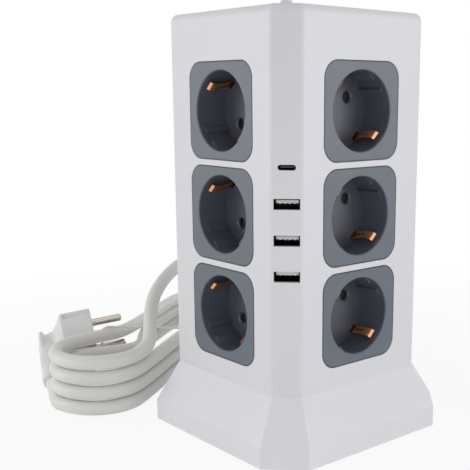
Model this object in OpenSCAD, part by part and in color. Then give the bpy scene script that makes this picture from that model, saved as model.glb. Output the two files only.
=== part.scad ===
// Tower power strip: twelve earthed wells on four faces, USB ports on one corner,
// a rocker and a circuit breaker on top, and a lead tied up in a hank behind it.
// The origin is under the middle of the base, on the surface the tower stands on.

/* [Body] */
// Width of the body across two flat faces
body_w = 98.4; // [92:0.2:112]
// Height of the top face over the surface
total_h = 217.6; // [214:0.2:240]
// Thickness of the housing walls
wall = 2.4; // [2:0.1:3]
// Leg of the wide corner faces, front and rear
wide_leg = 10.3; // [9:0.1:12]
// Leg of the narrow corner faces, where the shells meet
narrow_leg = 7.9; // [6:0.1:10]
// Rounding of the body's edges
edge_r = 4; // [3:0.5:5]
// Gap of the seams between housing pieces
seam = 0.3; // [0.1:0.05:0.5]
// Width of the shells' band round the top panel
top_band = 7; // [6:0.5:9]

/* [Base] */
// Width of the base across two flat sides
base_w = 123.9; // [120:0.1:140]
// Leg of the base's corner faces
base_leg = 16.7; // [12:0.1:20]
// Height of the base's upright rim
rim_h = 11.1; // [8:0.1:14]
// Height of the slope from the rim to the body
slope_h = 20.2; // [16:0.1:24]
// Height of the rim over the surface, given by the feet
foot_lift = 1; // [0.8:0.1:1.5]
// Diameter of a foot
foot_d = 15; // [12:0.5:18]
// Distance of a foot's middle from the side of the base
foot_edge = 12.95; // [11:0.05:18]
// Height of the base's spigot inside the shells
spigot_h = 6; // [4:0.5:8]
// Radius of the base screws' shanks
screw_r = 1.5; // [1.2:0.1:1.8]
// Radius of the base screws' heads
screw_head_r = 3; // [2.6:0.1:3.2]
// Length of the base screws' shanks
screw_l = 12; // [9:0.5:15]
// Distance of the base screws from the body's sides, both ways
screw_edge = 11.2; // [9:0.1:15]

/* [Sockets] */
// Most rows of wells on each face
most_rows = 3; // [1:1:3]
// Distance between two rows
row_pitch = 51; // [50:0.1:54]
// Height of the lowest row's middle
low_row_z = 67.4; // [66:0.1:70]
// Least height of the top over the top row's middle
head_room = 46; // [44:0.5:50]
// Width of a socket's front plate
plate_w = 50.6; // [49:0.1:52]
// Height of a socket's front plate
plate_h = 47.6; // [46:0.1:48]
// Corner radius of the front plate
plate_r = 8.5; // [6:0.5:10]
// Gap round a front plate in its window
plate_gap = 0.25; // [0.2:0.05:0.4]
// Width of the flange behind the shell
flange_lip = 1.1; // [0.8:0.1:1.2]
// Diameter of the well
well_d = 39; // [38.5:0.1:40]
// Width of the bevel at the well's mouth
mouth_bevel = 0.5; // [0.3:0.1:0.8]
// Depth of the well
well_depth = 17.5; // [17:0.1:18]
// Thickness of the well's floor and of its wall
cup_wall = 2; // [1.6:0.1:2.2]
// Turn of the pins' line from level
pin_turn = 45; // [40:1:50]
// Distance between the two pins
pin_spread = 19; // [18.8:0.1:19.2]
// Diameter of a pin hole
pin_hole_d = 5.4; // [5.2:0.1:5.6]
// Bevel round a pin hole
pin_bevel = 0.8; // [0.4:0.1:1]
// Distance of the guide flats from the well's axis
guide_x = 17.75; // [17.7:0.05:18]
// Depth at which the guide flats start
guide_top = 3; // [2:0.5:4]
// Width of the notch in a guide flat
notch_w = 6.4; // [5:0.2:7]

/* [Contacts] */
// Thickness of the contact sheet
sheet = 0.8; // [0.6:0.1:0.9]
// Width of an earth clip
clip_w = 4.6; // [4:0.1:5]
// Width of the slit in an earth clip
slit_w = 0.9; // [0.6:0.1:1.2]
// Width of a busbar
bar_w = 6; // [5:0.5:6.5]
// Depth of the earth strip behind the face
earth_depth = 22.2; // [22.1:0.1:22.6]
// Width of the column that carries the busbars
column_w = 22.8; // [21:0.2:24]
// Thickness of a shutter
shutter_t = 2; // [1.6:0.1:2.1]
// Radius of a shutter's blades
blade_r = 3.5; // [3.3:0.1:3.7]
// Turn that opens a shutter
shutter_turn = 40; // [38:1:42]
// Radius of the shutter's pivot pin
pivot_r = 2; // [1.6:0.1:2.4]
// Radial play of a turning or sliding piece
play = 0.08; // [0.05:0.01:0.1]

/* [USB] */
// Height of the USB-C port's middle
usb_c_z = 144.2; // [143:0.1:146]
// Height of the top USB-A port's middle
usb_a_z = 127.1; // [126:0.1:128]
// Distance between two USB-A ports
usb_pitch = 17.3; // [16.5:0.1:18]
// Count of USB-A ports
usb_count = 3; // [1:1:3]
// Width of a USB-A opening
usb_a_w = 12.6; // [12.5:0.1:13]
// Height of a USB-A opening
usb_a_h = 5.2; // [5.1:0.1:5.4]
// Width of the USB-C opening
usb_c_w = 8.6; // [8.5:0.1:9]
// Height of the USB-C opening
usb_c_h = 2.6; // [2.5:0.1:2.8]
// Depth of the port shells behind the wall
port_depth = 14; // [13:0.5:15]
// Thickness of the port shells
port_t = 0.3; // [0.3:0.05:0.4]
// Gap between a port shell and the housing's wall
port_gap = 0.4; // [0.35:0.05:0.6]

/* [Top] */
// Width of the rocker switch's bezel
switch_w = 25; // [23:0.5:27]
// Length of the rocker switch's bezel
switch_l = 31; // [29:0.5:33]
// Place of the rocker switch along the top
switch_y = 14; // [12:0.5:16]
// Tilt of the rocker each side of level
rocker_tilt = 9; // [7:0.5:11]
// Place of the breaker across the top
breaker_x = 9; // [0:0.5:12]
// Place of the breaker along the top
breaker_y = -14; // [-22:0.5:-12]
// Diameter of the breaker's button
button_d = 6; // [5:0.5:8]
// Travel of the breaker's button
button_travel = 2; // [1.5:0.1:2.5]

/* [Cord] */
// Diameter of the cord
cord_d = 8.2; // [8:0.1:8.3]
// Radius of the hank's folds
fold_r = 24.6; // [24.6:0.1:26]
// Length of the hank's straight runs
run_l = 164; // [140:1:170]
// Rise from one layer of the hank to the next
layer_h = 8.8; // [8.8:0.05:9]
// How far the runs are drawn in at the tie
draw_in = 3.6; // [2:0.1:5]
// Height of the cord's exit
exit_z = 78; // [76:0.5:80]
// Length of the strain relief outside the shell
relief_l = 32; // [28:0.5:34]

/* [Hidden] */
$fn = 64;
cut = 0.05;
half = body_w / 2;
base_half = base_w / 2;
seam_z = foot_lift + rim_h + slope_h;
rim_z = foot_lift + rim_h;
deck_t = wall;
well_r = well_d / 2;
cup_r = well_r + cup_wall;
cup_depth = well_depth + cup_wall;
column_half = column_w / 2;
bar_depth = half - column_half - sheet;
pin_r = pin_spread / 2;
rows = min(most_rows, 1 + floor((total_h - head_room - low_row_z) / row_pitch));
top_row_z = low_row_z + (rows - 1) * row_pitch;
pin_hole_r = pin_hole_d / 2;
flange_t = 1.2;
cord_r = cord_d / 2;
wide_face = wide_leg * sqrt(2);
SIDES = ["a", "b", "c", "d"];

// Plain shapes

module rounded_rect(w, h, r) {
    square([w - 2 * r, h], center = true);
    square([w, h - 2 * r], center = true);
    for (x = [-1, 1], y = [-1, 1]) translate([x * (w / 2 - r), y * (h / 2 - r)]) circle(r);
}

// An eight-sided outline: flats at h from the middle, with two widths of corner, drawn in by t
function inner_leg(leg, t) = leg - t * (2 - sqrt(2));
module octagon(h, wide, narrow, t) {
    g = h - t;
    w = inner_leg(wide, t);
    n = inner_leg(narrow, t);
    polygon([[g, g - n], [g - n, g], [-g + w, g], [-g, g - w],
        [-g, -g + n], [-g + n, -g], [g - w, -g], [g, -g + w]]);
}
module body_outline(t) {
    octagon(half, wide_leg, narrow_leg, t);
}

// A strip of sheet: its path is one side, and the other lies t to its left
function unit(v) = v / norm(v);
function left(v) = [-v[1], v[0]];
function way(p, i) = unit(p[min(i + 1, len(p) - 1)] - p[max(i - 1, 0)]);
function side_path(p, t) = [for (i = [0:len(p) - 1]) p[i] + t * left(way(p, i))];
function turned(p) = [for (i = [len(p) - 1:-1:0]) p[i]];
module strip(p, t, w) {
    translate([0, 0, -w / 2]) linear_extrude(w) polygon(concat(p, turned(side_path(p, t))));
}

// A round tube along points in space, closed at both ends
function way3(p, i, first, last) = i == 0 ? unit(first) : i == len(p) - 1 ? unit(last)
    : unit(p[i + 1] - p[i - 1]);
function ring(c, t, r, n) = let (a = unit(cross(t, [0, 0, 1])), b = cross(a, t))
    [for (k = [0:n - 1]) c + r * cos(360 * k / n) * a + r * sin(360 * k / n) * b];
module tube(p, first, last, r, n) {
    m = len(p);
    pts = [for (i = [0:m - 1]) each ring(p[i], way3(p, i, first, last), r, n)];
    sides = [for (i = [0:m - 2], k = [0:n - 1]) let (q = (k + 1) % n)
        each [[i * n + k, i * n + q, (i + 1) * n + q], [i * n + k, (i + 1) * n + q, (i + 1) * n + k]]];
    low = [for (k = [1:n - 2]) [0, k + 1, k]];
    high = [for (k = [1:n - 2]) [(m - 1) * n, (m - 1) * n + k, (m - 1) * n + k + 1]];
    polyhedron(pts, concat(sides, low, high));
}

// Frames on the faces: x to the right, y up and z out of the face

module on_face(k) {
    rotate([0, 0, 90 * k]) translate([0, -half, 0]) rotate([90, 0, 0]) children();
}
module at_socket(k, row) {
    on_face(k) translate([0, low_row_z + (rows - row) * row_pitch, 0]) children();
}
module at_pins() {
    for (s = [0, 1]) rotate([0, 0, pin_turn + 180 * s]) translate([pin_r, 0, 0]) children();
}
module at_clips() {
    for (s = [0, 1]) rotate([0, 0, pin_turn + 90 + 180 * s]) children();
}
// On the wide corner face at the front: x to the right, y up and z out
corner_dist = half * sqrt(2) - wide_face / 2;
module on_corner() {
    rotate([0, 0, 45]) translate([0, -corner_dist, 0]) rotate([90, 0, 0]) children();
}

// Housing

// The body's outer form: upright edges and the top edge are rounded
module body_form() {
    hull() for (s = [0:3]) rotate([0, 0, 90 * s]) {
        leg = s % 2 == 0 ? wide_leg : narrow_leg;
        back = edge_r * tan(22.5);
        for (p = [[half - leg - back, -half + edge_r], [half - edge_r, -half + leg + back]])
            translate(p) {
                translate([0, 0, seam_z]) cylinder(r = edge_r, h = total_h - edge_r - seam_z, $fn = 32);
                translate([0, 0, total_h - edge_r]) sphere(edge_r, $fn = 32);
            }
    }
}
module body_hollow() {
    translate([0, 0, seam_z - cut]) linear_extrude(total_h - wall - seam_z + cut)
        body_outline(wall);
    translate([0, 0, total_h - wall - cut]) linear_extrude(wall + 2 * cut) body_outline(top_band - seam);
}
module usb_openings(grow, deep) {
    on_corner() translate([0, 0, -deep]) {
        for (i = [0:usb_count - 1]) translate([0, usb_a_z - i * usb_pitch, 0])
            linear_extrude(2 * deep) square([usb_a_w + 2 * grow, usb_a_h + 2 * grow], center = true);
        translate([0, usb_c_z, 0]) linear_extrude(2 * deep)
            rounded_rect(usb_c_w + 2 * grow, usb_c_h + 2 * grow, usb_c_h / 2 + grow - cut);
    }
}
// Half of the body: the front half has the USB corner, the rear half the cord's exit
module half_shell(front) {
    reach = body_w;
    first = front ? 0 : 2;
    difference() {
        intersection() {
            body_form();
            rotate([0, 0, front ? 45 : 225]) translate([-reach, -reach - seam / 4, 0])
                cube([2 * reach, reach, total_h]);
        }
        body_hollow();
        for (k = [first, first + 1], row = [1:rows]) at_socket(k, row)
            translate([0, 0, -wall - flange_t]) linear_extrude(wall + 2 * flange_t)
                rounded_rect(plate_w + 2 * plate_gap, plate_h + 2 * plate_gap, plate_r + plate_gap);
        if (front) usb_openings(0, wall + wide_leg / 2);
        else at_exit() translate([0, 0, -wall - cut]) cylinder(r = relief_neck_r + play, h = 2 * wall);
    }
}
// Two bosses behind the USB corner carry the board
board_z = usb_a_z - (usb_count - 1) * usb_pitch / 2 + usb_pitch / 2;
board_edge = 6;
board_h = (usb_count + 1) * usb_pitch + 2 * board_edge;
board_w = 18;
board_t = 1.6;
boss_r = 2.6;
boss_edge = 1;
module board_bosses() {
    up = board_h / 2 - boss_r - boss_edge;
    for (s = [-1, 1]) on_corner() translate([0, board_z + s * up, -wall - port_depth])
        cylinder(r = boss_r, h = port_depth + cut);
}
module front_shell() {
    color([0.85, 0.85, 0.87]) {
        half_shell(true);
        board_bosses();
    }
}
module rear_shell() {
    color([0.85, 0.85, 0.87]) half_shell(false);
}
// The top panel lies flush in the shells' band, and its flange seats under the band
module top_cap() {
    color([0.85, 0.85, 0.87]) difference() {
        union() {
            translate([0, 0, total_h - wall - cut]) linear_extrude(wall + cut) body_outline(top_band);
            translate([0, 0, total_h - wall - flange_t]) linear_extrude(flange_t) body_outline(top_band / 2);
        }
        translate([0, switch_y, total_h - 3 * wall]) linear_extrude(4 * wall)
            square([switch_body_w + seam, switch_body_l + seam], center = true);
        translate([breaker_x, breaker_y, total_h - 3 * wall]) cylinder(r = neck_r + seam / 2, h = 4 * wall);
    }
}

// The base widens from the body's outline to the rim
module base_outline(t) {
    octagon(base_half, base_leg, base_leg, t);
}
module base_form(inset) {
    hull() {
        translate([0, 0, rim_z - inset / 2]) linear_extrude(cut) base_outline(inset);
        translate([0, 0, seam_z - inset - cut]) linear_extrude(cut) body_outline(inset);
    }
    translate([0, 0, foot_lift]) linear_extrude(rim_h - inset / 2 + cut) base_outline(inset);
}
post_r = 4;
screw_x = half - screw_edge;
plate_rise = 1;
base_plate_t = 2.4;
head_h = 1.4;
plate_top = foot_lift + plate_rise + base_plate_t;
module at_screws() {
    for (x = [-1, 1], y = [-1, 1]) translate([x * screw_x, y * screw_x, 0]) children();
}
module base_skirt() {
    spigot_in = wall + seam / 2;
    color([0.85, 0.85, 0.87]) difference() {
        union() {
            difference() {
                base_form(0);
                translate([0, 0, -cut]) base_form(wall);
            }
            translate([0, 0, seam_z - deck_t]) linear_extrude(deck_t + spigot_h) body_outline(spigot_in);
            at_screws() translate([0, 0, plate_top])
                cylinder(r = post_r, h = seam_z - deck_t - plate_top + cut);
        }
        translate([0, 0, seam_z]) linear_extrude(spigot_h + cut)
            body_outline(spigot_in + wall);
        translate([0, 0, seam_z - deck_t - cut])
            cylinder(r = column_half - column_wall - column_lip, h = deck_t + 2 * cut);
        at_screws() translate([0, 0, plate_top - cut]) cylinder(r = screw_r + play, h = screw_l);
    }
}
module base_plate() {
    color([0.8, 0.8, 0.82]) difference() {
        translate([0, 0, foot_lift + plate_rise]) linear_extrude(base_plate_t) base_outline(wall + seam);
        at_screws() translate([0, 0, foot_lift]) {
            cylinder(r = screw_r + play, h = plate_top);
            cylinder(r = screw_head_r + play, h = plate_rise + head_h);
        }
    }
}
// Place of a foot along a side, as a share of its place across
foot_share = 0.55;
foot_x = base_half - foot_edge;
foot_y = foot_x * foot_share;
foot_taper = 1;
module rubber_feet() {
    color([0.25, 0.25, 0.27]) for (x = [-1, 1], y = [-1, 1]) translate([x * foot_x, y * foot_y, 0])
        cylinder(d1 = foot_d - foot_taper, d2 = foot_d, h = foot_lift + plate_rise);
}
module base_screws() {
    color([0.7, 0.7, 0.7]) at_screws() translate([0, 0, foot_lift + plate_rise]) difference() {
        union() {
            cylinder(r = screw_head_r, h = head_h);
            cylinder(r = screw_r, h = screw_l);
        }
        for (s = [0, 1]) rotate([0, 0, 90 * s]) translate([-screw_r, -screw_r / 6, -cut])
            cube([2 * screw_r, screw_r / 3, head_h / 2]);
    }
}

// Sockets

floor_z = -well_depth;
back_z = -cup_depth;
post_y = 12;
post_stub_r = 2.4;
rib_h = 1.5;
pivot_gap = 0.1;
module guide_flats() {
    at_pins() translate([-pin_r, 0, floor_z - cut]) difference() {
        linear_extrude(well_depth - guide_top + cut) intersection() {
            circle(well_r + cut);
            translate([guide_x, -well_r]) square([well_r, well_d]);
        }
        translate([guide_x - cut, -notch_w / 2, -cut]) cube([well_r, notch_w, well_depth]);
    }
}
clip_out = 19.3;
slot_in = 17.2;
module socket_insert(k, row) {
    color([0.36, 0.4, 0.44]) at_socket(k, row) {
        difference() {
            union() {
                translate([0, 0, -wall - flange_t]) linear_extrude(wall + flange_t)
                    rounded_rect(plate_w, plate_h, plate_r);
                translate([0, 0, -wall - flange_t]) linear_extrude(flange_t)
                    rounded_rect(plate_w + 2 * flange_lip, plate_h + 2 * flange_lip, plate_r + flange_lip);
                translate([0, 0, back_z]) cylinder(r = cup_r, h = cup_depth - wall);
            }
            translate([0, 0, floor_z]) cylinder(r = well_r, h = well_depth + cut);
            translate([0, 0, -mouth_bevel]) cylinder(r1 = well_r, r2 = well_r + mouth_bevel + cut,
                h = mouth_bevel + cut);
            at_pins() {
                translate([0, 0, back_z - cut]) cylinder(r = pin_hole_r, h = cup_wall + 2 * cut);
                translate([0, 0, floor_z - pin_bevel]) cylinder(r1 = pin_hole_r,
                    r2 = pin_hole_r + pin_bevel + cut, h = pin_bevel + cut);
            }
            at_clips() translate([slot_in, -clip_w / 2 - seam, back_z - cut])
                cube([well_r - slot_in, clip_w + 2 * seam, cup_wall + 2 * cut]);
        }
        guide_flats();
        translate([0, 0, pivot_gap - earth_depth]) cylinder(r = pivot_r, h = earth_depth - cup_depth + cut);
        for (s = [-1, 1]) translate([0, s * post_y, -bar_depth + rib_h - sheet])
            cylinder(r = post_stub_r, h = bar_depth - rib_h + sheet - cup_depth + cut);
    }
}

// A shutter turns on the pivot pin behind the floor, and its two blades close the pin holes
hub_wall = 2.2;
arm_share = 0.6;
module shutter(k, row) {
    color([0.75, 0.75, 0.72]) at_socket(k, row) translate([0, 0, back_z - seam - shutter_t]) difference() {
        union() {
            cylinder(r = pivot_r + hub_wall, h = shutter_t);
            at_pins() cylinder(r = blade_r, h = shutter_t);
            rotate([0, 0, pin_turn]) translate([-pin_r, -blade_r * arm_share, 0])
                cube([2 * pin_r, 2 * blade_r * arm_share, shutter_t]);
        }
        translate([0, 0, -cut]) cylinder(r = pivot_r + play, h = shutter_t + 2 * cut);
    }
}

// Inner conductors

// An earth clip's side view, as shares: how far it springs in towards the axis, and its depth in the well
clip_spring = 2.7;
clip_shares = [[0, 1], [0.04, 0.95], [0.4, 0.8], [0.93, 0.49], [1, 0.32], [0.81, 0.22], [0.48, 0.165]];
clip_path = concat([[clip_out, -earth_depth - sheet]],
    [for (c = clip_shares) [clip_out - clip_spring * c[0], -well_depth * c[1]]]);
slit_top_share = 0.46;
slit_low_share = 0.91;
module earth_clip() {
    at_clips() difference() {
        rotate([90, 0, 0]) strip(clip_path, sheet, clip_w);
        translate([clip_out - clip_spring - 2 * sheet, -slit_w / 2, -well_depth * slit_low_share])
            cube([clip_spring + 3 * sheet, slit_w, well_depth * (slit_low_share - slit_top_share)]);
    }
}
strip_w = 9;
strip_end = 4;
module earth_strip(k) {
    z0 = low_row_z - post_y - post_stub_r - strip_end;
    z1 = top_row_z + post_y + post_stub_r + strip_end;
    color([0.72, 0.45, 0.25]) {
        difference() {
            union() {
                on_face(k) translate([-strip_w / 2, z0, -earth_depth - sheet])
                    cube([strip_w, z1 - z0, sheet]);
                for (row = [1:rows]) at_socket(k, row) at_clips()
                    translate([0, -clip_w / 2, -earth_depth - sheet]) cube([clip_out, clip_w, sheet]);
            }
            for (row = [1:rows]) at_socket(k, row) for (s = [-1, 1])
                translate([0, s * post_y, -earth_depth - 2 * sheet])
                    cylinder(r = post_stub_r + play, h = 4 * sheet);
        }
        for (row = [1:rows]) at_socket(k, row) earth_clip();
    }
}
// A fork contact's side view, as shares: its half gap of the bar's width, and its depth of its own height
fork_t = 0.6;
fork_h = 5;
fork_top = earth_depth + 2;
fork_shares = [[0.48, 0], [0.35, 0.18], [0.38, 0.53], [0.43, 1]];
fork_path = [for (f = fork_shares) [bar_w * f[0], -fork_top - (bar_depth - fork_top) * f[1]]];
bar_end = 6;
bar_low = low_row_z - pin_r - bar_end;
bar_top = top_row_z + pin_r + bar_end;
module busbar(k, side) {
    x = side * pin_r * cos(pin_turn);
    y = side * pin_r * sin(pin_turn);
    color([0.8, 0.62, 0.35]) {
        on_face(k) translate([x - bar_w / 2, bar_low, -bar_depth - sheet])
            cube([bar_w, bar_top - bar_low, sheet]);
        for (row = [1:rows], m = [0, 1]) at_socket(k, row) translate([x, y, 0]) mirror([m, 0, 0])
            rotate([90, 0, 0]) strip(fork_path, -fork_t, fork_h);
    }
}
// The insulating column in the middle of the body carries the busbars in channels
column_wall = 2.4;
column_lip = 1;
module busbar_column() {
    rib_w = pin_spread * cos(pin_turn) / 2 - bar_w / 2 - play;
    color([0.9, 0.9, 0.88]) difference() {
        translate([0, 0, seam_z]) linear_extrude(bar_top - seam_z) union() {
            square(2 * column_half, center = true);
            for (k = [0:3]) rotate(90 * k) translate([-rib_w, -column_half - rib_h])
                square([2 * rib_w, 2 * rib_h]);
        }
        translate([0, 0, seam_z - cut]) linear_extrude(bar_top - seam_z + 2 * cut)
            square(2 * (column_half - column_wall), center = true);
    }
}

// USB

coil_size = [14, 14, 8];
coil_y = 20;
can_d = 6.3;
can_h = 9;
can_y = -30;
chip_size = [8, 10, 2];
module usb_board() {
    color([0.1, 0.35, 0.2]) on_corner() translate([0, board_z, -wall - port_depth - board_t]) {
        translate([-board_w / 2, -board_h / 2, 0]) cube([board_w, board_h, board_t]);
        translate([-coil_size[0] / 2, coil_y - coil_size[1] / 2, -coil_size[2]])
            cube(coil_size + [0, 0, cut]);
        for (s = [-1, 1]) translate([s * board_w / 4, can_y, -can_h]) cylinder(d = can_d, h = can_h + cut);
        translate([-chip_size[0] / 2, -chip_size[1] / 2, -chip_size[2]]) cube(chip_size + [0, 0, cut]);
    }
}
module usb_a_shells() {
    w = usb_a_w + 2 * port_t;
    h = usb_a_h + 2 * port_t;
    color([0.75, 0.75, 0.77]) for (i = [0:usb_count - 1]) on_corner()
        translate([0, usb_a_z - i * usb_pitch, -wall - port_depth]) difference() {
            linear_extrude(port_depth - port_gap) square([w, h], center = true);
            translate([0, 0, port_t]) linear_extrude(port_depth) square([usb_a_w, usb_a_h], center = true);
        }
}
module usb_c_shell() {
    color([0.75, 0.75, 0.77]) on_corner() translate([0, usb_c_z, -wall - port_depth]) difference() {
        linear_extrude(port_depth - port_gap)
            rounded_rect(usb_c_w + 2 * port_t, usb_c_h + 2 * port_t, usb_c_h / 2 + port_t - cut);
        translate([0, 0, port_t]) linear_extrude(port_depth)
            rounded_rect(usb_c_w, usb_c_h, usb_c_h / 2 - cut);
    }
}
tongue_a_w = 10.8;
tongue_a_t = 1.5;
tongue_a_l = 11;
tongue_a_gap = 1;
tongue_c_w = 6.7;
tongue_c_t = 0.7;
tongue_c_l = 12;
module usb_tongues() {
    color([0.9, 0.9, 0.9]) on_corner() {
        for (i = [0:usb_count - 1]) translate([0, usb_a_z - i * usb_pitch + usb_a_h / 2 - tongue_a_gap, 0])
            translate([-tongue_a_w / 2, -tongue_a_t, -wall - port_depth + port_t])
                cube([tongue_a_w, tongue_a_t, tongue_a_l]);
        translate([-tongue_c_w / 2, usb_c_z - tongue_c_t / 2, -wall - port_depth + port_t])
            cube([tongue_c_w, tongue_c_t, tongue_c_l]);
    }
}

// Switch and breaker on the top

bezel_lip = 1.5;
bezel_t = 1;
bezel_r = 2;
switch_body_w = switch_w - 2 * bezel_lip;
switch_body_l = switch_l - 2 * bezel_lip;
switch_deep = 22;
cheek = 1;
tab_size = [0.8, 6, 8];
tab_x = 5;
tab_y = 8;
axle_drop = 5;
rocker_w = 15;
rocker_l = 21;
rocker_r = rocker_l / 2;
rocker_chamfer = 1;
rocker_end = rocker_r - rocker_chamfer;
rocker_mid = 3.5;
rocker_top = rocker_mid + rocker_end * tan(rocker_tilt);
axle_r = 1.5;
axle_z = total_h + bezel_t - axle_drop;
module switch_housing() {
    color([0.1, 0.1, 0.11]) difference() {
        union() {
            translate([0, switch_y, total_h]) linear_extrude(bezel_t)
                rounded_rect(switch_w, switch_l, bezel_r);
            translate([0, switch_y, total_h - switch_deep]) linear_extrude(switch_deep + cut)
                square([switch_body_w, switch_body_l], center = true);
        }
        translate([-rocker_w / 2 - seam, switch_y, axle_z]) rotate([0, 90, 0])
            cylinder(r = rocker_r + 2 * seam, h = rocker_w + 2 * seam);
        translate([-rocker_w / 2 - seam, switch_y - rocker_r - 2 * seam, axle_z])
            cube([rocker_w + 2 * seam, 2 * rocker_r + 4 * seam, switch_deep]);
        translate([cheek - switch_body_w / 2, switch_y, axle_z]) rotate([0, 90, 0])
            cylinder(r = axle_r + play, h = switch_body_w - 2 * cheek);
    }
    color([0.8, 0.65, 0.4]) for (y = [-1, 0, 1], x = [-1, 1])
        translate([x * tab_x, switch_y + y * tab_y, total_h - switch_deep - tab_size[2]])
            translate([-tab_size[0] / 2, -tab_size[1] / 2, 0]) cube(tab_size + [0, 0, cut]);
}
// The rocker is a round-bottomed block whose top has two flats that meet over the axle
module switch_rocker() {
    color([0.75, 0.1, 0.08]) translate([0, switch_y, axle_z]) rotate([rocker_tilt, 0, 0]) {
        translate([-rocker_w / 2, 0, 0]) rotate([90, 0, 90]) linear_extrude(rocker_w) union() {
            intersection() {
                circle(rocker_r);
                translate([-rocker_r, -rocker_r]) square([2 * rocker_r, rocker_r + cut]);
            }
            polygon([[-rocker_r, 0], [rocker_r, 0], [rocker_end, rocker_top], [0, rocker_mid],
                [-rocker_end, rocker_top]]);
        }
        translate([cheek + seam - switch_body_w / 2, 0, 0]) rotate([0, 90, 0])
            cylinder(r = axle_r, h = switch_body_w - 2 * cheek - 2 * seam);
    }
}
neck_r = 4.8;
collar_w = 1.6;
breaker_shift = -3;
breaker_w = 15;
breaker_l = 24;
breaker_deep = 24;
button_r = button_d / 2;
button_l = 9;
module breaker_body() {
    color([0.12, 0.12, 0.13]) translate([breaker_x, breaker_y, total_h]) difference() {
        union() {
            cylinder(r = neck_r + collar_w, h = bezel_t);
            translate([0, 0, -wall - flange_t]) cylinder(r = neck_r, h = wall + flange_t + cut);
            translate([-breaker_w / 2, breaker_shift - breaker_l / 2, -wall - flange_t - breaker_deep])
                cube([breaker_w, breaker_l, breaker_deep]);
        }
        translate([0, 0, bezel_t - button_l - button_travel])
            cylinder(r = button_r + play, h = 2 * button_l);
    }
}
button_out = 4.4;
module breaker_button() {
    color([0.85, 0.85, 0.86]) translate([breaker_x, breaker_y, total_h + bezel_t + button_out - button_l])
        cylinder(r = button_r, h = button_l);
}

// Cord, as a lead from the rear corner, a hank of three turns and a short lead to the plug

relief_neck_r = 5.4;
relief_root_r = 6.3;
relief_tip_r = 5.4;
relief_flange_r = 7;
relief_inner_r = 6.2;
module at_exit() {
    rotate([0, 0, 225]) translate([0, -corner_dist, exit_z]) rotate([90, 0, 0]) children();
}
// Grooves round the tapered sleeve let it bend
groove_count = 5;
groove_first = 5;
groove_last = 3;
groove_share = 0.4;
relief_skin = 0.9;
collar_t = 2;
module strain_relief() {
    step = (relief_l - groove_first - groove_last) / groove_count;
    color([0.86, 0.85, 0.82]) at_exit() rotate_extrude() difference() {
        union() {
            translate([0, -wall - collar_t]) square([relief_neck_r, wall + collar_t + cut]);
            translate([0, -wall - collar_t]) square([relief_inner_r, collar_t]);
            square([relief_flange_r, collar_t]);
            polygon([[0, 0], [relief_root_r, 0], [relief_tip_r, relief_l], [0, relief_l]]);
        }
        for (i = [0:groove_count - 1]) translate([cord_r + relief_skin, groove_first + i * step])
            square([relief_root_r, step * groove_share]);
    }
}

hank_mid = [-137, -2];
hank_turn = 123;
hank_lift = 0.7;
hank_far = [cos(hank_turn), sin(hank_turn)];
hank_side = [sin(hank_turn), -cos(hank_turn)];
steps = 24;
quarter = steps / 6;
hank_layers = 3;
hank_first = -quarter;
hank_last = hank_layers * steps;
// Place along and across the hank at a step of one turn. Steps 0 to 4 and 20 to 24 are the near
// fold, 4 to 8 the outer run, 8 to 16 the far fold and 16 to 20 the run beside the tower.
function wave(t) = pow(sin(180 * t), 2);
// The plug's lower pin pushes the second turn's outer run in, most at this share of the run
push_share = 0.35;
push_in = 15;
push_turn = 1;
function push(t, n) = n == push_turn && t < 2 * push_share ? push_in * wave(t / (2 * push_share)) : 0;
function fold_place(i, n) =
    i <= quarter ? [-run_l / 2 - fold_r * cos(90 * i / quarter), -fold_r * sin(90 * i / quarter)]
    : i <= 2 * quarter ? let (t = i / quarter - 1)
        [run_l * (t - 0.5), -fold_r + draw_in * wave(t) + push(t, n)]
    : i <= 4 * quarter ? let (a = 90 * (i / quarter - 2)) [run_l / 2 + fold_r * sin(a), -fold_r * cos(a)]
    : i <= 5 * quarter ? let (t = i / quarter - 4) [run_l * (0.5 - t), fold_r - draw_in * wave(t)]
    : let (a = 90 * (6 - i / quarter)) [-run_l / 2 - fold_r * cos(a), fold_r * sin(a)];
// Each turn comes down one layer along the first half of its outer run
function ease(t) = let (c = min(max(t, 0), 1)) c * c * (3 - 2 * c);
function layer_at(i) = let (n = floor(i / steps), f = i - n * steps)
    hank_layers - n - ease(2 * (f / quarter - 1));
function hank_point(i) = let (n = floor(i / steps), q = fold_place(i - n * steps, n),
    xy = hank_mid + q[0] * hank_far + q[1] * hank_side)
    [xy[0], xy[1], hank_lift + cord_r + layer_h * layer_at(i)];
hank_way = [-hank_far[0], -hank_far[1], 0];
hank_out = [-hank_side[0], -hank_side[1], 0];
hank_start = hank_point(hank_first) - cord_d * hank_way;
hank_end = hank_point(hank_last) + cord_d * hank_out;
hank_path = concat([hank_start], [for (i = [hank_first:hank_last]) hank_point(i)], [hank_end]);
hank_gap = min([for (i = [0:len(hank_path) - 1], j = [i + 9:1:len(hank_path) - 1])
    norm(hank_path[i] - hank_path[j])]) - cord_d;
echo(hank_least_gap = hank_gap);  // cord_hank
cord_tint = [0.84, 0.83, 0.8];
module cord_hank() {
    color(cord_tint) tube(hank_path, hank_way, hank_out, cord_r, 6);
}
exit_way = [-1, 1, 0];
exit_xy = (corner_dist + relief_l) / sqrt(2);
exit_point = [-exit_xy, exit_xy, exit_z];
lead_route = [[-74, 74, 78], [-83, 82, 78], [-94, 88.5, 78], [-107, 89.5, 78], [-119.5, 83, 77.5],
    [-128.5, 71, 77], [-133, 57, 75.5], [-134, 42, 73.5], [-132.5, 27, 70.5], [-129.5, 13, 67],
    [-125, 0, 62.5], [-119, -11, 57.5], [-112.5, -20, 52], [-105, -27, 46.3], [-97, -33, 40.6],
    [-89, -38.5, 35.9], [-82, -44, 32.6]];
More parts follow.
